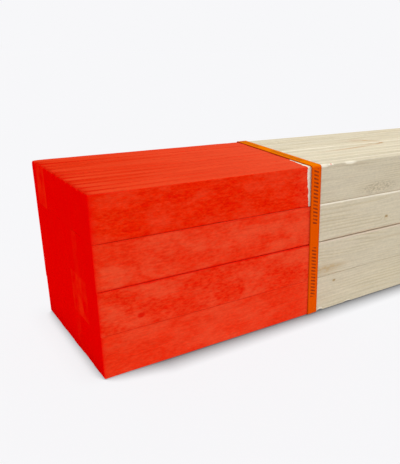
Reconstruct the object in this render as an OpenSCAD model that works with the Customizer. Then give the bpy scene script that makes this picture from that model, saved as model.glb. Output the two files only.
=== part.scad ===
// Bundle of survey lath: sawn wooden laths in courses, held by two loops of plastic strapping.
// X runs along the laths, with the painted end at -X. Z is up, and the loops rest on Z = 0.

/* [Lath] */
// Length that the laths are cut to
lath_l = 1219.2; // [600:0.1:1830]
// Width of a lath, across its wide face
lath_w = 38.1; // [25:0.1:64]
// Thickness of a lath
lath_t = 11.1; // [6:0.1:19]
// Radius of the worn long edges
edge_r = 1; // [0.2:0.1:2]
// Most that the saw leaves a lath under its width or its thickness
saw_under = 0.3; // [0:0.05:0.4]

/* [Bundle] */
// Laths side by side in a course
across = 12; // [2:1:20]
// Courses, one on another
courses = 4; // [1:1:10]
// Least room between neighbouring laths
lath_gap = 0.4; // [0.1:0.05:0.5]
// How far the courses have slid along the bundle, from the bottom up, repeated past four
course_slide = [1.2, 0.2, -0.9, -0.5]; // [-3:0.1:3]
// Degrees that the ends of the bundle lean, seen from the side
end_lean = 2.5; // [0:0.5:4]
// Degrees that the ends of the bundle are out of square, seen from above
end_skew = 0.5; // [0:0.5:4]
// Most that a lath stands in or out of its course's end
end_play = 0.4; // [0:0.1:3]
// Start of the random row that sets each lath's size and place
row_seed = 11; // [1:1:99]

/* [Straps] */
// Width of the strapping
strap_w = 12; // [6:0.1:19]
// Thickness of the strapping
strap_t = 0.6; // [0.4:0.05:1.2]
// Distance from the bundle's end to the middle of a strap
strap_in = 231; // [60:1:280]
// Room between a strap and the wood
strap_gap = 0.2; // [0.1:0.05:0.4]
// Length of the welded lap where the strapping closes on itself
lap_l = 38; // [15:1:60]
// Degrees that the loop at the painted end is out of square, seen from above
strap_skew = 7; // [0:0.5:10]
// Degrees that the same loop leans, seen from the side
strap_lean = 5; // [0:0.5:10]
// Degrees that the loop at the plain end is out of square, seen from above
plain_skew = -2.5; // [-10:0.5:10]
// Degrees that the same loop leans, seen from the side
plain_lean = -1.5; // [-10:0.5:10]

/* [Hidden] */
$fn = 48;
wood_colour = "#d8c8a4";
strap_colour = "#e2660c";
lath_count = across * courses;
bundle_w = across * lath_t + (across - 1) * lath_gap;
bundle_h = courses * lath_w + (courses - 1) * lath_gap;
// The strapping passes under the wood, so the lowest course starts above it
wood_z = strap_t + strap_gap;
// The bend of the strapping clears the worn edge of a corner lath
bend_r = edge_r + 2 * strap_gap;
// Length along the bundle that a slanting loop needs
most_slant = max(tan(strap_skew), tan(strap_lean), abs(tan(plain_skew)), abs(tan(plain_lean)));
loop_reach = strap_w + (bundle_w + bundle_h) * most_slant;
slab_side = 2 * (bundle_w + bundle_h);
thin_row = rands(0, saw_under, lath_count, row_seed);
narrow_row = rands(0, saw_under, lath_count, row_seed + 1);
play_row = rands(-end_play, end_play, lath_count, row_seed + 2);

// A rectangle with round corners, from its lower left corner
module rounded_rect(w, h, r) {
    translate([r, 0])
        square([w - 2 * r, h]);
    translate([0, r])
        square([w, h - 2 * r]);
    for (x = [r, w - r], y = [r, h - r])
        translate([x, y])
            circle(r);
}

// One lath on its narrow edge, with its section's lower left corner on the X axis
module lath(t, w) {
    translate([-lath_l / 2, 0, 0])
        rotate([90, 0, 90])
            linear_extrude(lath_l)
                rounded_rect(t, w, edge_r);
}

// Slants a lath's ends to the lean of the bundle's ends, and shifts it along to suit
module leaning_ends() {
    lean = tan(end_lean);
    middle = wood_z + bundle_h / 2;
    multmatrix([[1, -tan(end_skew), -lean, lean * middle], [0, 1, 0, 0], [0, 0, 1, 0]])
        children();
}

// A course of laths side by side, each a little under size and a little out of line
module lath_course(course) {
    slide = course_slide[(course - 1) % len(course_slide)];
    z = wood_z + (course - 1) * (lath_w + lath_gap);
    color(wood_colour)
        for (i = [0 : across - 1]) {
            k = (course - 1) * across + i;
            y = -bundle_w / 2 + i * (lath_t + lath_gap) + thin_row[k] / 2;
            leaning_ends()
                translate([slide + play_row[k], y, z])
                    lath(lath_t - thin_row[k], lath_w - narrow_row[k]);
        }
}

// The loop of strapping seen along the bundle, with its lap on the back
module loop_section() {
    inner_w = bundle_w + 2 * strap_gap;
    inner_h = bundle_h + 2 * strap_gap;
    difference() {
        translate([-inner_w / 2 - strap_t, 0])
            rounded_rect(inner_w + 2 * strap_t, inner_h + 2 * strap_t, bend_r + strap_t);
        translate([-inner_w / 2, strap_t])
            rounded_rect(inner_w, inner_h, bend_r);
    }
    translate([inner_w / 2, strap_t + (inner_h - lap_l) / 2])
        square([2 * strap_t, lap_l]);
}

// A loop that slants round the bundle, and lies flat on each face
module strap(x, skew, lean) {
    color(strap_colour)
        translate([x, 0, 0])
            intersection() {
                translate([-loop_reach, 0, 0])
                    rotate([90, 0, 90])
                        linear_extrude(2 * loop_reach)
                            loop_section();
                translate([0, 0, wood_z + bundle_h / 2])
                    rotate([0, -lean, -skew])
                        cube([strap_w, slab_side, slab_side], center = true);
            }
}

for (c = [1 : courses])
    lath_course(c);
strap(strap_in - lath_l / 2, strap_skew, strap_lean);  // strap_painted_end
strap(lath_l / 2 - strap_in, plain_skew, plain_lean);  // strap_plain_end
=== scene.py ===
import math
from functools import partial
import bpy
import numpy as np
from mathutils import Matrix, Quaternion, Vector


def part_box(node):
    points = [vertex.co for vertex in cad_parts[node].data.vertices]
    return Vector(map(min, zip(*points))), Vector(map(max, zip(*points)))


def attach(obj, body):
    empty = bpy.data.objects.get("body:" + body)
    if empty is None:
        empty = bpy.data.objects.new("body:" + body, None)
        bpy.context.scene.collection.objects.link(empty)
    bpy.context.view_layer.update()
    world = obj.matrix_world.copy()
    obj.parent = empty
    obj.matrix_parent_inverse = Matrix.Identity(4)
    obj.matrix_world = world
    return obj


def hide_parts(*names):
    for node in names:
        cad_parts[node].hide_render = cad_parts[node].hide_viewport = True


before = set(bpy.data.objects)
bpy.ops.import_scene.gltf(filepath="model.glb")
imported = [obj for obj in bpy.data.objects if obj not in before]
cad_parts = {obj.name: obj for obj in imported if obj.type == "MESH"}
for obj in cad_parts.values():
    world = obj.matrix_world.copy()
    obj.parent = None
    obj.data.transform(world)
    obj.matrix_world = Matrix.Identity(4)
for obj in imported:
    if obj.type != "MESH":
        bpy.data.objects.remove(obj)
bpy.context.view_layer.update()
mm = 0.001
print("frame loaded:", ", ".join(sorted(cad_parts)))

# node settings that come up again and again
times = {"operation": "MULTIPLY"}
timesPlus = {"operation": "MULTIPLY_ADD"}
positive = {"operation": "ABSOLUTE"}
smooth = {"interpolation_type": "SMOOTHSTEP"}
midNoise = {"From Min": 0.3, "From Max": 0.7}   # where most of a noise lies
blend = {"data_type": "RGBA"}
fromColour, toColour = 6, 7                     # a colour blend's inputs


def linear(hexColour):
    # sRGB hex to the linear colour that the shaders take
    parts = [int(hexColour[i:i + 2], 16) / 255 for i in (1, 3, 5)]
    return tuple(c / 12.92 if c <= 0.04045 else ((c + 0.055) / 1.055) ** 2.4 for c in parts) + (1.0,)


def put(tree, kind, settings=None, links=None):
    # one node: settings are its own properties or unlinked inputs, links say what feeds an input,
    # either a socket or a node, whose first output in use is meant
    node = tree.nodes.new("ShaderNode" + kind)
    for name, value in (settings or {}).items():
        if isinstance(name, str) and hasattr(node, name):
            setattr(node, name, value)
        else:
            node.inputs[name].default_value = value
    for name, source in (links or {}).items():
        if isinstance(source, bpy.types.Node):
            source = next(socket for socket in source.outputs if socket.enabled)
        tree.links.new(source, node.inputs[name])
    return node


def newMaterial(name):
    # a material without nodes, and what adds a node to it
    material = bpy.data.materials.new(name)
    material.use_nodes = True
    material.node_tree.nodes.clear()
    return material, partial(put, material.node_tree)


def nodePoints(name):
    # a CAD node's mesh points, in mm
    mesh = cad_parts[name].data
    points = np.empty(len(mesh.vertices) * 3)
    mesh.vertices.foreach_get("co", points)
    return points.reshape(-1, 3) / mm


def strapPlane(name):
    # the middle of a slanting strap: x = plane . (1, y, z)
    points = nodePoints(name)
    return np.linalg.lstsq(np.c_[np.ones(len(points)), points[:, 1:]], points[:, 0], rcond=None)[0]


def wander(rng, x, spacing, size):
    # a smooth random line along x, between -size and size, with a bend about every spacing
    low, high = x.min(), x.max()
    count = max(4, int((high - low) / spacing) + 3)
    values = rng.uniform(-size, size, count)
    at = (x - low) / (high - low + 1e-9) * (count - 2)
    i = at.astype(int)
    t = at - i
    t = t * t * (3 - 2 * t)
    return values[i] * (1 - t) + values[i + 1] * t


def tubeFaces(n, m, flip):
    # faces of a tube of n rings of m points each, and of its two caps
    s, k = np.meshgrid(np.arange(n - 1), np.arange(m), indexing="ij")
    after = (k + 1) % m
    corners = [s * m + k, s * m + after, (s + 1) * m + after, (s + 1) * m + k]
    first, final = list(range(m)), list(range((n - 1) * m, n * m))
    if flip:
        corners = corners[:1] + corners[:0:-1]
        caps = [first, final[::-1]]
    else:
        caps = [first[::-1], final]
    return np.stack(corners, axis=-1).reshape(-1, 4).tolist() + caps


def meshPiece(name, points, faces, slots, values, materials):
    mesh = bpy.data.meshes.new(name)
    mesh.from_pydata((points * mm).tolist(), [], faces)
    for material in materials:
        mesh.materials.append(material)
    mesh.polygons.foreach_set("material_index", np.asarray(slots, dtype=np.int32))
    for key, value in values.items():
        kind, field = ("FLOAT_VECTOR", "vector") if value.ndim == 2 else ("FLOAT", "value")
        layer = mesh.attributes.new(key, kind, "POINT")
        layer.data.foreach_set(field, np.asarray(value, dtype=np.float32).ravel())
    mesh.update()
    piece = bpy.data.objects.new(name, mesh)
    bpy.context.scene.collection.objects.link(piece)
    return piece


# the laths of a course are one piece, made over the CAD's own laths; lengths are in mm
bundle = {
    "across": 12,                 # laths in a course
    "seed": 5,
    "fineStep": 3.0,              # between sections near the painted end
    "coarseStep": 12.0,           # between sections elsewhere
    "fineLength": 440.0,          # of fine sections
    "bareFrom": 8.0,              # from the painted strap's middle to wood that is surely bare
    "edgeRadius": 0.45,           # sawn arris
    "edgeWear": 0.25,             # more or less of it along a lath
    "wearSpacing": 18.0,
    "leastRadius": 0.04,
    "arrisGuard": 1.2,            # flat face beside an arris that keeps its chips and smears to itself
    "crush": 0.7,                 # more arris where a strap bears on an outer corner
    "crushReach": 11.2, "crushFade": 7.0,
    "bruises": 5,                 # small knocks on each outer arris
    "bruiseLength": (2, 8), "bruiseDepth": (0.2, 0.8), "bruiseFrom": 5,
    "faceWave": (160, 0.12),      # length and height of the waves in the long faces
    "endEase": 0.15,              # arris round a lath's ends inside the bundle
    "outerEase": 0.9,             # the same on the bundle's outside
    "easeRange": (0.4, 1.8),      # least and most of that, as shares
    "topEdge": 0.4,               # share of it that the painted end's top edge has
    "topGroove": 1.0,             # more arris along the top, which draws the joints there
    "topFill": 0.7,               # share of that which the paint has filled, away from the painted end
    "topFillFrom": 70.0,
    "endNotch": 3.0,              # more of it at the painted end, where the laths' corners are rubbed off
    "notchRange": (0.3, 1.0), "notchLength": (2.0, 5.0),
    "jointFill": (0.9, 3.0),      # share of an inner arris that paint has filled at the end, and how far in
    "jointFillOn": 0.5,           # the same as far as the strap
    "endSoak": 1.2,               # how far the paint has soaked in from the end
    "topEndSoak": (0.8, 4.0),     # the same on the top course
    "topJointShade": (0.75, 30.0),      # how dark the top's joints are drawn near the end, a painted shade in the grooves, and how far
    "paleArrisHighlight": 0.6,              # most that a sawn arris on the top is drawn pale: pale fuzz, and a painted highlight
    "paleLength": 140.0, "paleFade": 200.0, "paleLeast": 0.3,   # of a pale arris, past the strap
    "chipRough": 0.3, "chipPale": 0.8,
    "evenEnd": 0.8,               # share of the laths' unevenness that the painted end has lost
    "evenCourses": 0.85,          # the same for the courses
    "closeUp": 0.75,              # share of the gaps between laths that is closed, all at the painted end
    "closeFrom": 6.0,
    "closePlain": 0.2,            # the same at the plain end
    "closePlainFrom": 40.0,
    "backDrop": 0.45,             # how far the back lath of a course is dropped from the course above
    "dropFrom": 2.0,
    "pithReach": (25, 90),        # from a lath to the heart of its log
    "pithLean": 0.03,
    "stockSpread": 4000,          # so that no two laths share a pattern
    "paintEnd": (-2.5, 1.0),      # where the paint ends, from the strap's middle
    "smearEdge": (-4.0, 0.7),     # how far inside the paint's edge a smear counts, at its rim and middle
    "sideThin": (0, 0.5), "sideCloud": (0.4, 0.8),   # paint on laths behind the front ones
    "knotSize": (1.2, 2.6), "knotChance": 0.6,
    "stainSize": (3, 7), "stainChance": 0.5,
    "spotFrom": 250, "spotHeight": (0.1, 0.9),   # where a knot or stain that isn't listed may be
}
courses = sorted(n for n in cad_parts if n.startswith("lath_course_"))
last, top = bundle["across"] - 1, len(courses)
paintStrap = strapPlane("strap_painted_end")
plainStrap = strapPlane("strap_plain_end")
arcSteps = 3
cornerTurn = [math.pi, 1.5 * math.pi, 0.0, 0.5 * math.pi]   # where each corner's arc starts
frontLow, backLow, backHigh, frontHigh = range(4)           # the corners, round the section
frontCorners, highCorners = (frontLow, frontHigh), (backHigh, frontHigh)
lowCorners = (frontLow, backLow)
endStations = np.array([0, 0.06, 0.15, 0.35, 0.7, 1.2, 2.5, 5.0])   # mm from a lath's ends

# how far the front face of each course stands in from the strap, bottom course first, then the back face
courseInset = [0.3, 0.0, 0.5, 1.1]
backInset = [0.45, 0.0, 0.6, 0.15]
# how far the front lath of each course is dropped from the course above: at the painted end, past the strap
frontDrop = [(0.0, 0.1), (0.12, 0.6), (0.06, 0.1)]
# how strongly the joint over each course is drawn darker, deep red on the paint and brown on the wood: a
# painted shade in the joint
jointShadeDepth = [0.15, 0.75, 0.4]
# chips on an arris, by course, lath and corner: mm from the painted strap's middle, length, depth
chips = {
    (4, 0, frontHigh): [(12.5, 13.0, 1.5), (47.0, 17.0, 1.6)],
    (1, 0, frontLow): [(11.5, 9.0, 2.4), (52.0, 8.0, 1.8)],
}
# a smear of paint past the strap: mm from the strap's middle, length
smears = {(4, 0, frontHigh): (21.0, 5.0)}
# an arris rounder past the strap and drawn pale there, a painted highlight: radius, paleness
highlightedArris = {(3, 0, frontHigh): (0.95, 1.0), (2, 0, frontHigh): (0.9, 0.55)}
# knots and brown stains, by course and lath: mm from the painted end, height up the face as a share, radius
knots = {(3, 0): (327.0, 0.32, 1.5), (1, 0): (254.0, 0.8, 1.3), (2, 0): (36.0, 0.28, 1.9)}
stains = {(2, 0): (240.0, 0.2, 6.0), (4, 0): (311.0, 0.2, 6.5)}
# faces whose stain is torn grain, speckled and hardly brown
tornGrain = [(4, 0)]
# a pointed figure in the grain, over laths sawn from one plank: course, first and last lath,
# mm from the painted end to its tip
figures = [(4, 4, 7, 390.0), (4, 0, 3, 690.0), (4, 8, 11, 905.0), (1, 2, 5, 420.0), (1, 6, 9, 780.0)]
# paint that stops short of the strap: mm from the strap's middle, at the lath's foot and top
shortPaint = {(4, 0): (-7.4, -9.6), (4, 1): (-8.6, -8.6), (4, 2): (-7.4, -7.4)}
# the paint on the front of each course, bottom course first: how thin it is, how cloudy,
# and how much has sunk into the fibres in darker dashes
paintSide = [(0.6, 0.55, 0.4), (0.45, 0.9, 0.95), (0.55, 0.9, 0.5), (0.0, 0.4, 1.0)]
# ends where the paint is thin, and how thin
thinEnd = {(4, 10): 1.0, (4, 9): 0.6, (3, 3): 0.3, (2, 2): 0.5, (2, 3): 0.9, (2, 4): 0.7, (1, 4): 0.3}
thinElsewhere = 0.05


def readLaths(course):
    # each lath's box in y and z, where its two ends are at its middle, and how its ends slant
    points = nodePoints(course)
    low, high = points[:, 1].min(), points[:, 1].max()
    share = (points[:, 1] - low) / (high - low) * bundle["across"]
    which = np.minimum(share.astype(int), last)
    laths = []
    for i in range(bundle["across"]):
        p = points[which == i]
        (y0, z0), (y1, z1) = p[:, 1:].min(0), p[:, 1:].max(0)
        centred = np.c_[np.ones(len(p)), p[:, 1] - (y0 + y1) / 2, p[:, 2] - (z0 + z1) / 2]
        ends = [np.linalg.lstsq(centred[side], p[side, 0], rcond=None)[0]
                for side in (p[:, 0] < 0, p[:, 0] > 0)]
        laths.append({"y": (y0, y1), "z": (z0, z1), "x": [ends[0][0], ends[1][0]], "slant": ends[0][1:]})
    return laths


def evenPaintedEnd(stack):
    # paint has evened the painted end, within a course and from course to course
    level = np.array([[lath["x"][0] - lath["slant"] @ [sum(lath["y"]) / 2, sum(lath["z"]) / 2]
                       for lath in laths] for laths in stack])
    ofCourse = level.mean(axis=1, keepdims=True)
    shift = (level - ofCourse) * bundle["evenEnd"] + (ofCourse - level.mean()) * bundle["evenCourses"]
    for laths, row in zip(stack, shift):
        for lath, by in zip(laths, row):
            lath["x"][0] -= by


def stationsAlong(low, high, seen):
    if seen:
        fine = low + bundle["fineLength"]
        inner = np.r_[np.arange(low + 8, fine, bundle["fineStep"]),
                      np.arange(fine, high - 8, bundle["coarseStep"])]
    else:
        inner = np.array([low + 12, low + 30, 0, high - 30])
    return np.unique(np.r_[low + endStations, inner, high - endStations])


def lathSides(laths, above, course, lath, x, past, rng):
    # where a lath's front, back, low and high faces stand, along its length
    this = laths[lath]
    (y0, y1), (z0, z1), (x0, x1) = this["y"], this["z"], this["x"]
    fromEnd = np.minimum(x - x0, x1 - x)
    closed = bundle["closeUp"] + (1 - bundle["closeUp"]) * np.exp(-(x - x0) / bundle["closeFrom"])
    closed -= (closed - bundle["closePlain"]) * np.exp((x - x1) / bundle["closePlainFrom"])

    def endPull(outside):
        ease = bundle["outerEase"] * rng.uniform(*bundle["easeRange"]) if outside else bundle["endEase"]
        pull = ease * np.clip(1 - fromEnd / ease, 0, 1) ** 2
        return pull if outside else pull * (x > 0)   # paint has filled the joints at the painted end

    front = y0 + endPull(lath == 0)
    back = y1 - endPull(lath == last)
    low = z0 + endPull(course == 1)
    high = z1 - endPull(course == top) * np.where(x < 0, bundle["topEdge"], 1)
    if lath == 0:
        front += courseInset[course - 1] + wander(rng, x, *bundle["faceWave"])
    else:
        front -= (y0 - laths[lath - 1]["y"][1]) / 2 * closed
    if lath < last:
        back += (laths[lath + 1]["y"][0] - y1) / 2 * closed
    else:
        back -= backInset[course - 1] + wander(rng, x, *bundle["faceWave"])
    if course < top:
        dropped = np.clip((x - x0) / bundle["dropFrom"], 0, 1)
        high += (above - z1) * closed
        if lath == 0:
            atEnd, pastStrap = frontDrop[course - 1]
            high -= (atEnd + (pastStrap - atEnd) * past ** 3) * dropped
        if lath == last:
            high -= bundle["backDrop"] * dropped
    return front, back, low, high


def lathArrises(this, course, lath, x, past, rng, own):
    # each arris along the lath: its radius, how bare and pale it is (bare where chipped, drawn pale as a
    # painted highlight on some arrises), and the paint smeared on it, then how far paint has soaked in from
    # the lath's end
    (y0, y1), (z0, z1), (x0, x1) = this["y"], this["z"], this["x"]
    radius = np.array([bundle["edgeRadius"] + wander(rng, x, bundle["wearSpacing"], bundle["edgeWear"])
                       for corner in range(4)])
    painted = past < 0.95   # as far as the strap
    share, length = bundle["jointFill"]
    filled = 1 - share * np.exp(-(x - x0) / length)
    filled *= 1 - bundle["jointFillOn"] * painted
    soakReach = bundle["endSoak"]
    if course == top:
        unfilled = np.maximum(np.exp(-(x - x0) / bundle["topFillFrom"]), 1 - bundle["topFill"])
        groove = rng.uniform(0.0, bundle["topGroove"], (2, 1)) * np.where(painted, unfilled, 1)
        notch = own.uniform(*bundle["notchRange"], (2, 1)) * bundle["endNotch"]
        notch = notch * np.exp(-(x - x0) / own.uniform(*bundle["notchLength"]))
        soakReach = own.uniform(*bundle["topEndSoak"])
        radius[list(highCorners)] += groove + notch
        radius[list(lowCorners)] *= filled
    else:
        radius *= filled
    bare = np.zeros((4, len(x)))
    speck = np.zeros((4, len(x)))
    for corner in range(4):
        here = (course, lath, corner)
        isFront, isHigh = corner in frontCorners, corner in highCorners
        outerY = lath == (0 if isFront else last)
        outerZ = course == (top if isHigh else 1)
        cornerPoint = [1, y0 if isFront else y1, z1 if isHigh else z0]
        strapAt = paintStrap @ cornerPoint
        if outerY and outerZ:
            for plane in (paintStrap, plainStrap):
                fromStrap = np.abs(x - plane @ cornerPoint)
                pressed = np.clip((bundle["crushReach"] - fromStrap) / bundle["crushFade"], 0, 1)
                radius[corner] += bundle["crush"] * pressed
        if outerY or outerZ:
            for at in rng.uniform(x0 + bundle["bruiseFrom"], x1 - bundle["bruiseFrom"], bundle["bruises"]):
                swell = np.clip(1 - ((x - at) / rng.uniform(*bundle["bruiseLength"])) ** 2, 0, 1)
                radius[corner] += swell * rng.uniform(*bundle["bruiseDepth"])
        # the top's arrises past the strap are drawn pale: fuzz, and a painted highlight
        if course == top and isHigh:
            bare[corner] = rng.uniform(0, bundle["paleArrisHighlight"]) * (x > strapAt)
        # a listed arris drawn pale is a painted highlight
        if here in highlightedArris:
            size, pale = highlightedArris[here]
            radius[corner] += (size - bundle["edgeRadius"]) * past ** 2
            fade = 1 - (x - strapAt - bundle["paleLength"]) / bundle["paleFade"]
            bare[corner] = pale * (x > strapAt) * np.clip(fade, bundle["paleLeast"], 1)
        for at, length, depth in chips.get(here, []):
            swell = np.clip(1 - ((x - strapAt - at) / (length / 2)) ** 4, 0, 1)
            rough = bundle["chipRough"] * rng.random(len(x))
            radius[corner] += depth * swell * (1 - bundle["chipRough"] + rough)
            bare[corner] = np.maximum(bare[corner], swell * bundle["chipPale"])
        if here in smears:
            at, length = smears[here]
            speck[corner] = np.clip(1.5 - 2 * abs(x - strapAt - at) / length, 0, 1)
    return np.maximum(radius, bundle["leastRadius"]), bare, speck, soakReach


def lathShape(laths, above, course, lath, rng):
    # points, faces and the values that the shaders read, for one lath
    this = laths[lath]
    (y0, y1), (z0, z1), (x0, x1) = this["y"], this["z"], this["x"]
    own = np.random.default_rng([bundle["seed"], course, lath])
    x = stationsAlong(x0, x1, lath in (0, last) or course in (1, top))
    # 0 at the painted end, 1 past the strap
    past = np.clip((x - x0) / (paintStrap[0] + bundle["bareFrom"] - x0), 0, 1)
    front, back, low, high = lathSides(laths, above, course, lath, x, past, rng)
    radius, bare, speck, soakReach = lathArrises(this, course, lath, x, past, rng, own)
    middle = np.array([(y0 + y1) / 2, (z0 + z1) / 2])
    rings, bareAndHighlightRing, speckRing, soakAndShadeRing = [], [], [], []
    for corner, turn in enumerate(cornerTurn):
        r = radius[corner]
        cy = front + r if corner in frontCorners else back - r
        cz = high - r if corner in highCorners else low + r
        over = course if corner in highCorners else course - 1   # the joint that this arris is on
        # an arris along a joint is drawn darker, a painted shade; on the top course only near the painted end
        if over == top:
            depth, length = bundle["topJointShade"]
            jointShade = depth * np.exp(-(x - x0) / length)
        else:
            jointShade = jointShadeDepth[over - 1] if over > 0 else 0.0
        for k in range(-1, arcSteps + 2):
            a = turn + 0.5 * math.pi * min(max(k, 0), arcSteps) / arcSteps
            onArris = 0 <= k <= arcSteps
            side = 0.0 if onArris else bundle["arrisGuard"] * (1 if k < 0 else -1)
            y = cy + r * math.cos(a) + side * math.sin(a)
            z = cz + r * math.sin(a) - side * math.cos(a)
            slanted = x + this["slant"][0] * (y - middle[0]) + this["slant"][1] * (z - middle[1])
            rings.append(np.stack([slanted, y, z], axis=1))
            bareAndHighlightRing.append(bare[corner] * onArris)
            speckRing.append(speck[corner] * onArris)
            soakAndShadeRing.append(np.maximum(np.exp(-(x - x0) / soakReach), jointShade * onArris))
    points = np.stack(rings, axis=1)
    flat = points.reshape(-1, 3)
    count = len(flat)
    along = flat[:, 0] - x0
    values = {}
    # the lath's place in its log: rings are cylinders about a pith line that leans a little
    angle = rng.uniform(0, 2 * math.pi)
    reach = rng.uniform(*bundle["pithReach"])
    lean = rng.uniform(-bundle["pithLean"], bundle["pithLean"], 2)
    fromPith = flat[:, 1:] - middle - reach * np.array([math.cos(angle), math.sin(angle)])
    values["log"] = np.c_[flat[:, 0], fromPith + np.outer(flat[:, 0] - rng.uniform(x0, x1), lean)]
    values["stock"] = flat + rng.uniform(-bundle["stockSpread"], bundle["stockSpread"], 3)
    for name, listed in (("knot", knots), ("stain", stains)):
        spot = (rng.uniform(bundle["spotFrom"], x1 - x0), rng.uniform(*bundle["spotHeight"]),
                rng.uniform(*bundle[name + "Size"]) * (rng.random() < bundle[name + "Chance"]))
        at, up, size = listed.get((course, lath), spot)
        raised = flat[:, 2] - z0 - up * (z1 - z0)
        values[name + "At"] = np.c_[along - at, raised, np.full(count, size + 0.01)]   # never none
    values["figureAt"] = np.zeros((count, 3))
    for ofCourse, first, final, at in figures:
        if ofCourse == course and first <= lath <= final:
            tip = (laths[first]["y"][0] + laths[final]["y"][1]) / 2
            values["figureAt"] = np.c_[along - at, flat[:, 1] - tip, np.ones(count)]
    # mm inside the paint's edge, below zero on bare wood
    foot, head = shortPaint.get((course, lath), [rng.uniform(*bundle["paintEnd"])] * 2)
    offset = foot + (head - foot) * (flat[:, 2] - z0) / (z1 - z0)
    paint = np.c_[np.ones(count), flat[:, 1:]] @ paintStrap + offset - flat[:, 0]
    smear = np.stack(speckRing, axis=1).reshape(-1)
    rim, heart = bundle["smearEdge"]
    values["paint"] = np.where(smear > 0, np.maximum(paint, smear * (heart - rim) + rim), paint)
    values["bare"] = np.stack(bareAndHighlightRing, axis=1).reshape(-1)
    values["soak"] = np.stack(soakAndShadeRing, axis=1).reshape(-1)   # paint drunk in from the end, and painted shade along the joints
    values["tone"] = np.full(count, rng.uniform(0, 1))
    values["torn"] = np.full(count, float((course, lath) in tornGrain))
    side = paintSide[course - 1]
    if lath != 0:
        side = (rng.uniform(*bundle["sideThin"]), *own.uniform(*bundle["sideCloud"], 2))
    values["paintSide"] = np.tile(side, (count, 1))
    values["thinEnd"] = np.full(count, thinEnd.get((course, lath), thinElsewhere))
    faces = tubeFaces(*points.shape[:2], flip=False)
    slots = np.r_[np.zeros(len(faces) - 2, int), 1, 2]   # faces, painted end, plain end
    return flat, faces, slots, values


# rough-sawn spruce: pale, dry and matt, with close rings, fibre fuzz and faint saw lines;
# one end is brushed with fluorescent red marking paint, as bright as paint gets and quite matt,
# which soaks in unevenly: darker dashes where it sank, paler along the fibres; on the narrow edges it is
# drawn paler and more orange, a painted sheen
spruce = {
    "early": "#DED3BA", "late": "#D0C19E", "streak": "#C2AA7E", "freshAndHighlight": "#FBF3E0", "stain": "#C2A270",
    # the joint colour is the brown of the painted shade in the joints between the courses
    "knotHeart": "#A68C62", "knotRim": "#C2AA80", "jointShade": "#A2591C", "figure": "#BE8A58",
    "ringWidth": 2.2, "ringWaves": 7.0, "knotPush": 4.0,   # mm, the last two bend the rings
    "knotSqueeze": 0.6, "stainSqueeze": 0.22,              # along the grain, which draws a spot out
    "sawLines": 3.0, "sawSlant": 0.4,                      # mm apart, and how they lean
    "freshBand": (-8.0, -3.0),                             # mm from the paint's edge, clean wood beside it
    "roughness": 0.8,
}
markingPaint = {
    "body": "#FA2C04", "soaked": "#F00E00", "thin": "#FB502E",
    # the narrow edges' colours are paler and more orange than the wide faces', a painted sheen; the darkest
    # of them is also the painted shade in the top's joints
    "narrowEdge": "#E44724", "narrowDeep": "#D82F0F", "narrowThin": "#E65636", "narrowSoakedAndShade": "#C80A00",
    "rag": 2.2, "edge": 0.3,            # mm that its edge wanders to either side, and its softness
    "ranOut": (22.0, 2.0),              # mm from the edge, where the brush ran out on the wide faces
    "topRanOut": (170.0, 10.0),         # the same on the narrow edges
    "roughness": 0.65,
}
# noise over the wood: mm along the lath, mm across it, detail, roughness
woodNoise = {
    "slow": (180, 30, 2.0, 0.5),        # waves in the rings
    "hide": (90, 14, 1.0, 0.5),         # saw fuzz that hides the rings
    "fibre": (40, 1.2, 4.0, 0.65),
    "fuzz": (3.5, 1.6, 3.0, 0.6),
    "pitch": (140, 7, 3.0, 0.5),        # resin streaks
    "cloud": (36, 18, 4.0, 0.65),       # thin and thick paint
    "dash": (5, 1.8, 3.0, 0.7),         # paint that sank between fibres
    "smudge": (11, 6, 4.0, 0.7),        # paint that stands deep
    "rag": (9, 5, 3.0, 0.5),            # the paint's edge
}
# the pointed figure, where the saw ran out of a ring: nested arches, the nearer arm the longer one
grainFigure = {
    "bow": 0.145, "lopsided": -0.0065, "leastBow": 0.05, "steepness": 1.8, "waver": 6.0,
    "arches": ((0.0, 0.7), (18.0, 0.25)),   # mm back from the tip, strength
    "line": (2.6, 0.7),                     # mm from an arch's middle, where it starts and is full
    "arms": (-130.0, -70.0),                # mm from the tip, where the arms start and are full
}
# the painted end: end grain drinks the paint, so it is deep, even and dead matt
soakedEnd = {"deep": "#F80000", "bright": "#FF2608", "cloudSize": 14.0, "roughness": 0.95}
# the plain end: sawn end grain, a little darker than the faces, with the rings cut across
plainEnd = {"early": "#DCCAA4", "late": "#BEA476", "roughness": 0.9}
endGrainSize = 0.9   # mm, of both


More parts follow.
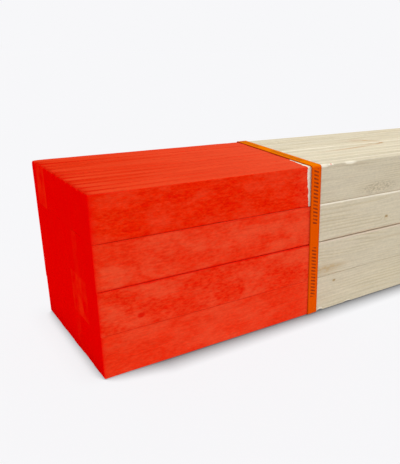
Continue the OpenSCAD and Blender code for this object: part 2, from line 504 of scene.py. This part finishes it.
def roughSawnSpruce():
    material, add = newMaterial("roughSawnSpruce_redMarkingPaint")
    stock, log, knotAt, stainAt, figureAt, side = (
        add("Attribute", {"attribute_name": name}).outputs["Vector"]
        for name in ("stock", "log", "knotAt", "stainAt", "figureAt", "paintSide"))
    paintReach, bareAndHighlightShare, soak, tone, torn = (
        add("Attribute", {"attribute_name": name}).outputs["Fac"]
        for name in ("paint", "bare", "soak", "tone", "torn"))
    noise = {}
    for name, (along, across, detail, roughness) in woodNoise.items():
        stretched = add("Mapping", {"Scale": (1 / along, 1 / across, 1 / across)}, {"Vector": stock})
        noise[name] = add("TexNoise", {"Scale": 1.0, "Detail": detail, "Roughness": roughness},
                          {"Vector": stretched}).outputs["Fac"]

    # distance from the knot and from the stain, longer along the grain, over their radius
    shares = []
    for spot, squeeze in ((knotAt, spruce["knotSqueeze"]), (stainAt, spruce["stainSqueeze"])):
        x, y, size = add("SeparateXYZ", None, {"Vector": spot}).outputs
        squeezed = add("Math", {**times, 1: squeeze}, {0: x})
        far = add("VectorMath", {"operation": "LENGTH"}, {
            0: add("CombineXYZ", None, {"X": squeezed, "Y": y})})
        shares.append(add("Math", {"operation": "DIVIDE"}, {0: far, 1: size}))
    knotShare, stainShare = shares
    knotBulge, knotRim, knotHeart = (
        add("MapRange", {**smooth, "From Min": near, "From Max": far, "To Min": most, "To Max": 0.0},
            {"Value": knotShare})
        for near, far, most in ((0.6, 4.0, 1.0), (0.7, 1.5, 0.8), (0.3, 0.9, 0.85)))

    # growth rings: distance from the pith, bent by slow waves and pushed round the knot
    logY, logZ = add("SeparateXYZ", None, {"Vector": log}).outputs[1:]
    pith = add("VectorMath", {"operation": "LENGTH"}, {
        0: add("CombineXYZ", None, {"Y": logY, "Z": logZ})})
    for push, size in ((noise["slow"], spruce["ringWaves"]), (knotBulge, spruce["knotPush"])):
        pith = add("Math", {**timesPlus, 1: size}, {0: push, 2: pith})
    ring = add("Math", {"operation": "FRACT"}, {
        0: add("Math", {"operation": "DIVIDE", 1: spruce["ringWidth"]}, {0: pith})})
    late = add("Math", times, {
        0: add("MapRange", {"From Min": 0.4, "From Max": 0.65, "To Min": 0.15, "To Max": 0.75},
               {"Value": noise["hide"]}),
        1: add("MapRange", {**smooth, "From Min": 0.35, "From Max": 0.95}, {"Value": ring})})

    # resin streaks, and the stain, which is speckled, and hardly brown where the grain is torn
    streak = add("MapRange", {**smooth, "From Min": 0.56, "From Max": 0.76, "To Max": 0.4},
                 {"Value": noise["pitch"]})
    brown = add("MapRange", {**smooth, "From Min": 0.2, "From Max": 1.3, "To Min": 0.65, "To Max": 0.0},
                {"Value": stainShare})
    speckled = add("MapRange", {"From Min": 0.4, "From Max": 0.6, "To Min": 0.35}, {"Value": noise["fuzz"]})
    faint = add("MapRange", {"To Min": 1.0, "To Max": 0.3}, {"Value": torn})
    for factor in (speckled, faint):
        brown = add("Math", times, {0: brown, 1: factor})

    # the laths' narrow edges face up or down
    normal = add("SeparateXYZ", None, {"Vector": add("NewGeometry").outputs["True Normal"]})
    narrow = add("MapRange", {"From Min": 0.4, "From Max": 0.9, "To Max": 0.85}, {
        "Value": add("Math", positive, {0: normal.outputs["Z"]})})

    # the pointed figure's lines, measured across their run so that they keep their width
    behind, aside, present = add("SeparateXYZ", None, {"Vector": figureAt}).outputs
    bow = add("Math", {"operation": "MAXIMUM", 1: grainFigure["leastBow"]}, {0: add(
        "Math", {**timesPlus, 1: grainFigure["lopsided"], 2: grainFigure["bow"]}, {0: aside})})
    squared = add("Math", times, {0: aside, 1: aside})
    arch = add("Math", timesPlus, {0: squared, 1: bow, 2: behind})
    arch = add("Math", {**timesPlus, 1: grainFigure["waver"]}, {0: noise["slow"], 2: arch})
    steep = add("Math", {**timesPlus, 2: 1.0}, {
        0: add("Math", positive, {0: aside}),
        1: add("Math", {**times, 1: grainFigure["steepness"]}, {0: bow})})
    begins, full = grainFigure["line"]
    lines = []
    for inward, strength in grainFigure["arches"]:
        far = add("Math", positive, {0: add("Math", {"operation": "ADD", 1: inward}, {0: arch})})
        far = add("Math", {"operation": "DIVIDE"}, {0: far, 1: steep})
        band = {**smooth, "From Min": begins, "From Max": full, "To Max": strength}
        lines.append(add("MapRange", band, {"Value": far}))
    line = add("Math", {"operation": "MAXIMUM"}, {0: lines[0], 1: lines[1]})
    begins, full = grainFigure["arms"]
    arms = add("MapRange", {"From Min": begins, "From Max": full}, {"Value": behind})
    for factor in (arms, present, narrow):
        line = add("Math", times, {0: line, 1: factor})

    # the paint's edge is ragged by a few millimetres, with clean wood beside it
    rag = add("MapRange", {"To Min": -markingPaint["rag"], "To Max": markingPaint["rag"]},
              {"Value": noise["rag"]})
    edge = add("Math", {"operation": "ADD"}, {0: paintReach, 1: rag})
    painted = add("MapRange", {"From Min": -markingPaint["edge"], "From Max": markingPaint["edge"]},
                  {"Value": edge})
    begins, full = spruce["freshBand"]
    clean = add("MapRange", {"From Min": begins, "From Max": full, "To Max": 0.85}, {"Value": edge})

    # fibre, fuzz and each lath's own tone lighten and darken the wood,
    # and torn grain is pitted with dark hollows
    shade = add("MapRange", {"To Min": 0.95, "To Max": 1.045}, {"Value": tone})
    for name, low, high in (("fibre", 0.91, 1.07), ("fuzz", 0.94, 1.05)):
        shade = add("Math", times, {0: shade, 1: add(
            "MapRange", {**midNoise, "To Min": low, "To Max": high}, {"Value": noise[name]})})
    pitted = add("MapRange", {"From Min": 0.42, "From Max": 0.66, "To Min": 1.07, "To Max": 0.66},
                 {"Value": noise["fuzz"]})
    tornHere = add("Math", times, {0: torn, 1: add(
        "MapRange", {"From Min": 1.3, "From Max": 0.5}, {"Value": stainShare})})
    shade = add("Math", times, {0: shade, 1: add(
        "Mix", {"data_type": "FLOAT", 2: 1.0}, {0: tornHere, 3: pitted})})
    # the joints between the courses are drawn brown on the wood: painted shade
    jointShadeShare = add("Math", {"operation": "POWER", 1: 2.0}, {0: soak})
    wood = add("Mix", {**blend, fromColour: linear(spruce["early"]), toColour: linear(spruce["late"])},
               {0: late})
    for name, share in (("streak", streak), ("stain", brown), ("figure", line)):
        wood = add("Mix", {**blend, toColour: linear(spruce[name])}, {0: share, fromColour: wood})
    wood = add("VectorMath", {"operation": "SCALE"}, {0: wood, "Scale": shade})
    for name, share in (("knotRim", knotRim), ("knotHeart", knotHeart), ("jointShade", jointShadeShare), ("freshAndHighlight", clean)):
        wood = add("Mix", {**blend, toColour: linear(spruce[name])}, {0: share, fromColour: wood})

    # paint: thin salmon clouds, paler between the dashes, and where the brush ran out by the strap
    thinHere, cloudHere, sunkHere = add("SeparateXYZ", None, {"Vector": side}).outputs
    thin = add("Math", times, {1: cloudHere, 0: add(
        "MapRange", {**smooth, "From Min": 0.4, "From Max": 0.7}, {"Value": noise["cloud"]})})
    thin = add("Math", {**timesPlus, 1: 0.55}, {0: thinHere, 2: thin})
    begins, full = markingPaint["ranOut"]
    thin = add("Math", {"operation": "ADD"}, {0: thin, 1: add(
        "MapRange", {"From Min": begins, "From Max": full, "To Max": 0.45}, {"Value": paintReach})})
    thin = add("Math", {"operation": "ADD", "use_clamp": True}, {0: thin, 1: add(
        "MapRange", {"From Min": 0.54, "From Max": 0.36, "To Min": -0.06, "To Max": 0.16},
        {"Value": noise["dash"]})})
    # short fine dashes along the fibres where it sank, and a few smudges where it stands deep
    soaked = add("Math", {"operation": "MAXIMUM"}, {
        0: add("MapRange", {**smooth, "From Min": 0.42, "From Max": 0.72, "To Max": 0.9},
               {"Value": noise["dash"]}),
        1: add("MapRange", {**smooth, "From Min": 0.54, "From Max": 0.74}, {"Value": noise["smudge"]})})
    sunk = add("MapRange", {**smooth, "From Min": 0.58, "From Max": 0.4, "To Min": 0.25},
               {"Value": noise["cloud"]})
    for factor in (sunk, sunkHere):
        soaked = add("Math", times, {0: soaked, 1: factor})
    red = {name: linear(colour) for name, colour in markingPaint.items() if isinstance(colour, str)}
    paint = add("Mix", {**blend, fromColour: red["body"], toColour: red["thin"]}, {0: thin})
    for share in (soaked, knotRim):
        paint = add("Mix", {**blend, toColour: red["soaked"]}, {0: share, fromColour: paint})
    # the narrow edges are drawn paler and more orange than the wide faces, a painted sheen, streaked along
    # the grain
    streaked = add("MapRange", {"From Min": 0.35, "From Max": 0.65}, {"Value": noise["pitch"]})
    edgePaintSheen = add("Mix", {**blend, fromColour: red["narrowDeep"], toColour: red["narrowEdge"]},
                    {0: streaked})
    begins, full = markingPaint["topRanOut"]
    edgeThin = add("MapRange", {"From Min": begins, "From Max": full, "To Max": 0.75}, {"Value": paintReach})
    edgePaintSheen = add("Mix", {**blend, toColour: red["narrowThin"]}, {0: edgeThin, fromColour: edgePaintSheen})
    paint = add("Mix", blend, {0: narrow, fromColour: paint, toColour: edgePaintSheen})
    for name, low, high in (("fuzz", 0.93, 1.05), ("fibre", 0.94, 1.06)):
        paint = add("VectorMath", {"operation": "SCALE"}, {0: paint, "Scale": add(
            "MapRange", {**midNoise, "To Min": low, "To Max": high}, {"Value": noise[name]})})
    # the end has drunk more of it, and the joints are drawn deeper and darker red: painted shade
    drunkAndShade = add("Mix", {**blend, fromColour: linear(soakedEnd["deep"]), toColour: red["narrowSoakedAndShade"]},
                {0: narrow})
    paint = add("Mix", blend, {0: soak, fromColour: paint, toColour: drunkAndShade})
    surface = add("Mix", blend, {0: painted, fromColour: wood, toColour: paint})
    # bare wood where chipped, and arrises drawn pale as a painted highlight
    surface = add("Mix", {**blend, toColour: linear(spruce["freshAndHighlight"])}, {0: bareAndHighlightShare, fromColour: surface})
    gloss = add("MapRange", {"To Min": spruce["roughness"], "To Max": markingPaint["roughness"]},
                {"Value": painted})

    # saw lines slant across the face, and show in places
    parts = add("SeparateXYZ", None, {"Vector": stock}).outputs
    slant = add("Math", {**timesPlus, 1: spruce["sawSlant"]}, {0: parts["Z"], 2: parts["X"]})
    kerf = add("Math", {"operation": "SINE"}, {
        0: add("Math", {**times, 1: 2 * math.pi / spruce["sawLines"]}, {0: slant})})
    kerf = add("Math", times, {0: kerf, 1: add(
        "MapRange", {"From Min": 0.5, "From Max": 0.7, "To Max": 0.1}, {"Value": noise["cloud"]})})
    height = add("Math", {"operation": "ADD"}, {0: kerf, 1: add(
        "Math", {**timesPlus, 1: 0.6}, {0: noise["fuzz"], 2: noise["fibre"]})})
    bump = add("Bump", {"Strength": 0.45, "Distance": 0.5 * mm}, {"Height": height})
    shader = add("BsdfPrincipled", {"IOR": 1.5, "Specular IOR Level": 0.0},
                 {"Base Color": surface, "Roughness": gloss, "Normal": bump})
    add("OutputMaterial", None, {"Surface": shader})
    return material


def paintSoakedEndGrain():
    material, add = newMaterial("endGrain_paintSoaked")
    stock = add("Attribute", {"attribute_name": "stock"}).outputs["Vector"]
    thin = add("Attribute", {"attribute_name": "thinEnd"}).outputs["Fac"]
    cloud = add("TexNoise", {"Scale": 1 / soakedEnd["cloudSize"], "Detail": 3.0}, {"Vector": stock})
    lift = add("Math", times, {1: thin, 0: add(
        "MapRange", {"From Min": 0.35, "From Max": 0.65}, {"Value": cloud})})
    colour = add("Mix", {**blend, fromColour: linear(soakedEnd["deep"]),
                         toColour: linear(soakedEnd["bright"])}, {0: lift})
    grain = add("TexNoise", {"Scale": 1 / endGrainSize, "Detail": 3.0}, {"Vector": stock})
    bump = add("Bump", {"Strength": 0.2, "Distance": 0.3 * mm}, {"Height": grain})
    shader = add("BsdfPrincipled",
                 {"IOR": 1.5, "Specular IOR Level": 0.0, "Roughness": soakedEnd["roughness"]},
                 {"Base Color": colour, "Normal": bump})
    add("OutputMaterial", None, {"Surface": shader})
    return material


def sawnEndGrain():
    material, add = newMaterial("endGrain_sawnSpruce")
    stock, log = (add("Attribute", {"attribute_name": name}).outputs["Vector"] for name in ("stock", "log"))
    tone = add("Attribute", {"attribute_name": "tone"}).outputs["Fac"]
    logY, logZ = add("SeparateXYZ", None, {"Vector": log}).outputs[1:]
    pith = add("VectorMath", {"operation": "LENGTH"}, {
        0: add("CombineXYZ", None, {"Y": logY, "Z": logZ})})
    ring = add("Math", {"operation": "FRACT"}, {
        0: add("Math", {"operation": "DIVIDE", 1: spruce["ringWidth"]}, {0: pith})})
    late = add("MapRange", {**smooth, "From Min": 0.3, "From Max": 0.95}, {"Value": ring})
    colour = add("Mix", {**blend, fromColour: linear(plainEnd["early"]),
                         toColour: linear(plainEnd["late"])}, {0: late})
    grain = add("TexNoise", {"Scale": 1 / endGrainSize, "Detail": 3.0}, {"Vector": stock})
    shade = add("Math", times, {
        0: add("MapRange", {**midNoise, "To Min": 0.85, "To Max": 1.1}, {"Value": grain}),
        1: add("MapRange", {"To Min": 0.84, "To Max": 1.1}, {"Value": tone})})
    colour = add("VectorMath", {"operation": "SCALE"}, {0: colour, "Scale": shade})
    bump = add("Bump", {"Strength": 0.4, "Distance": 0.4 * mm}, {"Height": grain})
    shader = add("BsdfPrincipled",
                 {"IOR": 1.5, "Specular IOR Level": 0.0, "Roughness": plainEnd["roughness"]},
                 {"Base Color": colour, "Normal": bump})
    add("OutputMaterial", None, {"Surface": shader})
    return material


lathMaterials = [roughSawnSpruce(), paintSoakedEndGrain(), sawnEndGrain()]
stack = [readLaths(course) for course in courses]
evenPaintedEnd(stack)
for number, course in enumerate(courses, 1):
    rng = np.random.default_rng(bundle["seed"] + number)
    above = stack[number][0]["z"][0] if number < top else None
    points, faces, slots, values = [], [], [], {}
    count = 0
    for lath in range(bundle["across"]):
        p, f, s, v = lathShape(stack[number - 1], above, number, lath, rng)
        points.append(p)
        faces += [[i + count for i in face] for face in f]
        slots.append(s)
        for key in v:
            values.setdefault(key, []).append(v[key])
        count += len(p)
    piece = meshPiece(f"laths_course_{number}", np.concatenate(points), faces, np.concatenate(slots),
                      {key: np.concatenate(v) for key, v in values.items()}, lathMaterials)
    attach(piece, "root")
    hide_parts(course)
print("laths made:", len(courses) * bundle["across"])

# the straps are loops of flat tape that slant round the bundle; lengths are in mm
strapping = {
    "width": 12.0, "thickness": 0.6, "bend": 1.6, "lap": 38.0,
    "edgeEase": 0.15, "rimWidth": 1.2,                   # round edge, and the plain rim beside it
    "rimDark": (4.6, 5.9),                              # from the middle, where the rim begins to darken
    "bendSteps": 6, "step": 6.0, "weldStep": 0.75,
    "rise": 8.0,                                         # where the tape climbs on to its lap
    "weld": 24.0, "weldPitch": 3.0, "weldDepth": 0.14,   # ridges pressed into the lap
    "waffle": 1.5,                                       # between the bumps rolled into the tape
    "colour": "#F05A00", "paleTopColour": "#EC7A00", "deep": "#C24A00", "ink": "#4E1A1C",
    "tick": 3.6, "tickRun": 54.0, "tickGap": 24.0, "tickStart": 20.0,   # plain printed ticks
    "tickLean": 0.35, "tickBand": (3.0, 2.7),            # from the middle, where they end
    "wearSize": 6.0,                                     # of the worn spots in them
    "roughness": 0.45,
}


def embossedPolypropylene():
    # extruded polypropylene tape, rolled with a fine waffle: bright and waxy,
    # drawn paler and yellower along its top run
    material, add = newMaterial("polypropyleneStrap_embossed")
    tape = add("Attribute", {"attribute_name": "tape"}).outputs["Vector"]
    bleach = add("Attribute", {"attribute_name": "bleach"}).outputs["Fac"]
    along, across = add("SeparateXYZ", None, {"Vector": tape}).outputs[:2]
    turns = 2 * math.pi / strapping["waffle"]
    waves = [add("Math", {"operation": "SINE"}, {0: add("Math", {**times, 1: turns}, {0: way})})
             for way in (along, across)]
    waffle = add("Math", times, {0: waves[0], 1: waves[1]})
    fromMiddle = add("Math", positive, {0: across})
    begins, full = strapping["rimDark"]
    rim = add("MapRange", {"From Min": begins, "From Max": full, "To Max": 0.8}, {"Value": fromMiddle})
    colour = add("Mix", {**blend, fromColour: linear(strapping["colour"]),
                         toColour: linear(strapping["paleTopColour"])}, {0: bleach})
    colour = add("Mix", {**blend, toColour: linear(strapping["deep"])}, {0: rim, fromColour: colour})
    # slanting ticks in runs along the middle, a little worn
    lean = add("Math", {**timesPlus, 1: strapping["tickLean"]}, {0: across, 2: along})
    ticks = add("Math", {"operation": "PINGPONG", 1: 0.5}, {
        0: add("Math", {"operation": "DIVIDE", 1: strapping["tick"]}, {0: lean})})
    ink = add("MapRange", {"From Min": 0.24, "From Max": 0.32}, {"Value": ticks})
    begun = add("Math", {"operation": "SUBTRACT", 1: strapping["tickStart"]}, {0: along})
    repeat = strapping["tickRun"] + strapping["tickGap"]
    runs = add("Math", {"operation": "FLOORED_MODULO", 1: repeat}, {0: begun})
    inRun = add("Math", {"operation": "LESS_THAN", 1: strapping["tickRun"]}, {0: runs})
    begins, full = strapping["tickBand"]
    inBand = add("MapRange", {"From Min": begins, "From Max": full}, {"Value": fromMiddle})
    wear = add("TexNoise", {"Scale": 1 / strapping["wearSize"], "Detail": 3.0}, {"Vector": tape})
    left = add("MapRange", {"From Min": 0.3, "From Max": 0.6, "To Min": 0.4, "To Max": 0.75},
               {"Value": wear})
    for factor in (inRun, inBand, left):
        ink = add("Math", times, {0: ink, 1: factor})
    colour = add("Mix", {**blend, toColour: linear(strapping["ink"])}, {0: ink, fromColour: colour})
    bump = add("Bump", {"Strength": 0.3, "Distance": 0.15 * mm}, {"Height": waffle})
    shader = add("BsdfPrincipled",
                 {"IOR": 1.49, "Specular IOR Level": 0.0, "Roughness": strapping["roughness"]},
                 {"Base Color": colour, "Normal": bump})
    add("OutputMaterial", None, {"Surface": shader})
    return material


def strapLoop(name):
    # the tape's path: y, z, how far it is lifted in thicknesses, how pale (the top run is drawn paler), how
    # deep the weld is pressed
    low, high = (np.array(v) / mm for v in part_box(name))
    t = strapping["thickness"]
    r = strapping["bend"] + t
    yFront, yBack = low[1], high[1] - t
    z0, z1 = low[2], high[2]
    middle = (z0 + z1) / 2
    lapTop, lapFoot = middle + strapping["lap"] / 2, middle - strapping["lap"] / 2
    rise = lapTop + strapping["rise"]
    path = []

    def straight(a, b, lift=(0, 0), bleach=0.0, step=None):
        n = max(2, int(math.hypot(b[0] - a[0], b[1] - a[1]) / (step or strapping["step"])))
        for i in range(n):
            u = i / n
            y, z = a[0] + (b[0] - a[0]) * u, a[1] + (b[1] - a[1]) * u
            press = 0.0
            if step and abs(z - middle) < strapping["weld"] / 2:
                press = strapping["weldDepth"] * (((z - middle) / strapping["weldPitch"]) % 1 < 0.5)
            path.append((y, z, lift[0] + (lift[1] - lift[0]) * u, bleach, press))

    def bend(cy, cz, start, bleach=(0.0, 0.0)):
        for i in range(strapping["bendSteps"]):
            u = i / strapping["bendSteps"]
            a = start - 0.5 * math.pi * u
            faded = bleach[0] + (bleach[1] - bleach[0]) * u
            path.append((cy + r * math.cos(a), cz + r * math.sin(a), 0, faded, 0.0))

    straight((yBack, lapTop), (yBack, z0 + r))
    bend(yBack - r, z0 + r, 0)
    straight((yBack - r, z0), (yFront + r, z0))
    bend(yFront + r, z0 + r, -0.5 * math.pi)
    straight((yFront, z0 + r), (yFront, z1 - r))
    bend(yFront + r, z1 - r, math.pi, (0.0, 1.0))
    straight((yFront + r, z1), (yBack - r, z1), bleach=1.0)
    bend(yBack - r, z1 - r, 0.5 * math.pi, (1.0, 0.0))
    straight((yBack, z1 - r), (yBack, rise))
    straight((yBack, rise), (yBack, lapTop), lift=(0, 1))
    straight((yBack, lapTop), (yBack, lapFoot), lift=(1, 1), step=strapping["weldStep"])
    path.append((yBack, lapFoot, 1, 0.0, 0.0))
    return np.array(path)


def strapShape(name):
    path = strapLoop(name)
    t = strapping["thickness"]
    plane = strapPlane(name)
    spread = math.sqrt(1 + plane[1] ** 2 + plane[2] ** 2)   # the loop slants, so it is wider along X
    ahead = np.gradient(path[:, :2], axis=0)
    ahead /= np.linalg.norm(ahead, axis=1)[:, None]
    out = np.c_[-ahead[:, 1], ahead[:, 0]]   # the path runs clockwise seen from +X, so left is outwards
    run = np.r_[0, np.cumsum(np.linalg.norm(np.diff(path[:, :2], axis=0), axis=1))]
    half = strapping["width"] / 2
    ease, inside = strapping["edgeEase"], half - strapping["rimWidth"]
    section = [(-half, -t + ease), (-half, -ease), (-half + ease, 0), (-inside, 0), (inside, 0),
               (half - ease, 0), (half, -ease), (half, -t + ease), (half - ease, -t), (-half + ease, -t)]
    points, tape = [], []
    for i in range(len(path)):
        for v, d in section:
            pressed = path[i, 4] if d == 0 and abs(v) <= inside else 0.0
            y, z = path[i, :2] + out[i] * (d + path[i, 2] * t - pressed)
            points.append((plane @ [1, y, z] + v * spread, y, z))
            tape.append((run[i], v, d))
    values = {"tape": np.array(tape), "bleach": np.repeat(path[:, 3], len(section))}
    return np.array(points), tubeFaces(len(path), len(section), flip=True), values


strapMaterial = embossedPolypropylene()
for name in ("strap_painted_end", "strap_plain_end"):
    points, faces, values = strapShape(name)
    piece = meshPiece(name.replace("strap", "tape"), points, faces, np.zeros(len(faces)), values,
                      [strapMaterial])
    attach(piece, "root")
    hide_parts(name)
print("straps made")

# a pale board under soft light
studio = {
    "floor": "#F0F0F2", "background": "#F7F7F9",
    "floorSize": 60.0,                      # m
    "backdropShare": 0.9,                   # of what is seen of the floor
    "contact": 21.0, "contactDark": 0.14,   # mm, and share of light, of the shade close under the bundle
    "endDark": 0.6, "endReach": 0.68,       # the same by the painted end, and how open the floor is past it
    "endFrom": -550.0, "endFull": -610.0,   # mm along the bundle, where that shade begins and is full
    "sky": 0.42,
    "overhead": 1.8, "overheadAngle": 10.0, "overheadFrom": (0.04, -0.03, 1.0),
    "fill": 0.6, "fillAngle": 60.0, "fillFrom": (-0.54, -0.8, 0.3),
    "back": 0.4, "backAngle": 60.0, "backFrom": (0.75, 0.6, 0.15),   # keeps the far sides from going dull
}


def seenRays(add):
    rays = add("LightPath").outputs
    mirrored = add("Math", {"operation": "MAXIMUM"},
                   {0: rays["Is Glossy Ray"], 1: rays["Is Transmission Ray"]})
    return add("Math", {"operation": "MAXIMUM"}, {0: rays["Is Camera Ray"], 1: mirrored})


def studioFloor():
    # matt pale board: it takes the bundle's shadow, and mostly shows as plain backdrop,
    # shaded where the bundle is near
    material, add = newMaterial("studioBoard_matt")
    board = add("BsdfDiffuse", {"Color": linear(studio["floor"])})
    openness = add("AmbientOcclusion", {"samples": 16, "Distance": studio["contact"] * mm})
    place = add("SeparateXYZ", None, {"Vector": add("NewGeometry").outputs["Position"]})
    span = {"From Min": studio["endFrom"] * mm, "From Max": studio["endFull"] * mm}
    dark, reach = (add("MapRange", {**span, "To Min": away, "To Max": near}, {"Value": place.outputs["X"]})
                   for away, near in ((studio["contactDark"], studio["endDark"]), (1.0, studio["endReach"])))
    lit = add("MapRange", {"From Min": 0.45},
              {"Value": openness.outputs["AO"], "From Max": reach, "To Min": dark})
    plain = add("Emission", {"Color": linear(studio["background"])}, {"Strength": lit})
    share = add("Math", {**times, 1: studio["backdropShare"]}, {0: seenRays(add)})
    both = add("MixShader", None, {0: share, 1: board, 2: plain})
    add("OutputMaterial", None, {"Surface": both})
    size = studio["floorSize"] / 2
    mesh = bpy.data.meshes.new("floor")
    corners = [(-size, -size, 0), (size, -size, 0), (size, size, 0), (-size, size, 0)]
    mesh.from_pydata(corners, [], [(0, 1, 2, 3)])
    mesh.materials.append(material)
    floor = bpy.data.objects.new("floor", mesh)
    bpy.context.scene.collection.objects.link(floor)


def studioLight():
    world = bpy.data.worlds.new("studio")
    bpy.context.scene.world = world
    world.use_nodes = True
    world.node_tree.nodes.clear()
    add = partial(put, world.node_tree)
    sky = add("Background", {"Color": (1, 1, 1, 1), "Strength": studio["sky"]})
    back = add("Background", {"Color": linear(studio["background"]), "Strength": 1.0})
    both = add("MixShader", None, {0: seenRays(add), 1: sky, 2: back})
    add("OutputWorld", None, {"Surface": both})
    for name in ("overhead", "fill", "back"):
        lamp = bpy.data.lights.new(name, "SUN")
        lamp.energy = studio[name]
        lamp.angle = math.radians(studio[name + "Angle"])
        holder = bpy.data.objects.new(name, lamp)
        holder.rotation_mode = "QUATERNION"
        holder.rotation_quaternion = Vector(studio[name + "From"]).to_track_quat("Z", "Y")
        bpy.context.scene.collection.objects.link(holder)


studioFloor()
studioLight()
bpy.context.scene.view_settings.view_transform = "Standard"
print("studio lit")

# the photo's angle; lengths are in mm
view = {
    "place": (-736.1, -407.2, 253.2), "aim": (-518.2, -68.8, 111.7),
    "roll": 1.4, "lens": 40.51, "sensor": 36.0,
}
camera = bpy.data.cameras.new("camera")
camera.lens = view["lens"]
camera.sensor_width = view["sensor"]
holder = bpy.data.objects.new("camera", camera)
holder.location = Vector(view["place"]) * mm
towards = (Vector(view["aim"]) - Vector(view["place"])).to_track_quat("-Z", "Y")
holder.rotation_mode = "QUATERNION"
holder.rotation_quaternion = towards @ Quaternion((0, 0, 1), math.radians(view["roll"]))
bpy.context.scene.collection.objects.link(holder)
bpy.context.scene.camera = holder

print("done")
